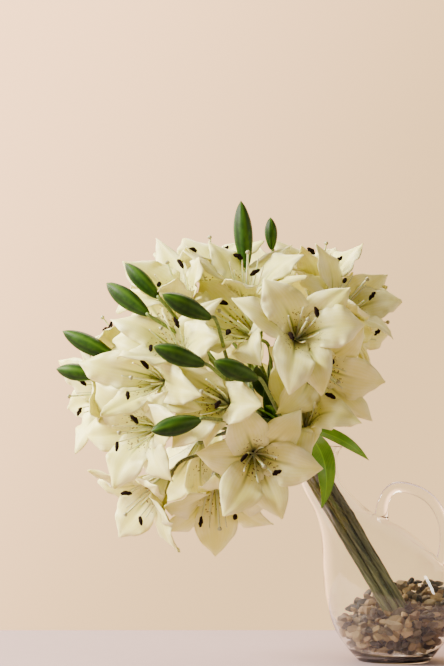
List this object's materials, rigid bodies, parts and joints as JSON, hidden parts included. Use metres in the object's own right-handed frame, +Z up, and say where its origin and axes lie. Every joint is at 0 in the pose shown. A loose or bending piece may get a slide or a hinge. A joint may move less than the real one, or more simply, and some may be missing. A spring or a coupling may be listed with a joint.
{
  "type": "lilies in a vase",
  "caption": "Bunch of open white lilies with green buds and leaves, leaning in a clear glass jug with a loop handle, stems held in a bed of pebbles.",
  "frame": {"origin": "centre of the jug's flat foot, on the surface that it stands on", "axes": "+Z up, +X towards the jug's handle side, away from the leaning flower head, -Y towards the viewer"},
  "size_m": [0.4758, 0.3659, 0.537],
  "materials": {
    "glass": "clear, smooth and glossy",
    "pebbles": "worn smooth river pebbles in tan, ochre, grey and brown",
    "stems_and_leaves": "green plant stems, buds and leaves with a satin skin",
    "petals": "ivory white petals with a greenish throat, soft silk sheen",
    "stamens": "pale green filaments with dark brown powdery anthers"
  },
  "bodies": {
    "root": {"jug": "glass", "pebbles": "pebbles", "stem_1": "stems_and_leaves", "stem_2": "stems_and_leaves", "stem_3": "stems_and_leaves", "stem_4": "stems_and_leaves", "stem_5": "stems_and_leaves", "stem_6": "stems_and_leaves", "stem_7": "stems_and_leaves", "stem_8": "stems_and_leaves", "lily_01": "petals", "lily_02": "petals", "lily_03": "petals", "lily_04": "petals", "lily_05": "petals", "lily_06": "petals", "lily_07": "petals", "lily_08": "petals", "lily_09": "petals", "lily_10": "petals", "lily_11": "petals", "lily_12": "petals", "lily_13": "petals", "lily_14": "petals", "lily_15": "petals", "lily_16": "petals", "lily_17": "petals", "lily_18": "petals", "lily_19": "petals", "lily_20": "petals", "lily_21": "petals", "lily_22": "petals", "lily_23": "petals", "lily_24": "petals", "lily_01_stamens": "stamens", "lily_02_stamens": "stamens", "lily_03_stamens": "stamens", "lily_04_stamens": "stamens", "lily_05_stamens": "stamens", "lily_06_stamens": "stamens", "lily_07_stamens": "stamens", "lily_08_stamens": "stamens", "lily_09_stamens": "stamens", "lily_10_stamens": "stamens", "lily_11_stamens": "stamens", "lily_12_stamens": "stamens", "lily_13_stamens": "stamens", "lily_14_stamens": "stamens", "lily_15_stamens": "stamens", "lily_16_stamens": "stamens", "lily_17_stamens": "stamens", "lily_18_stamens": "stamens", "lily_19_stamens": "stamens", "lily_20_stamens": "stamens", "lily_21_stamens": "stamens", "lily_22_stamens": "stamens", "lily_23_stamens": "stamens", "lily_24_stamens": "stamens"}
  },
  "joints": []
}
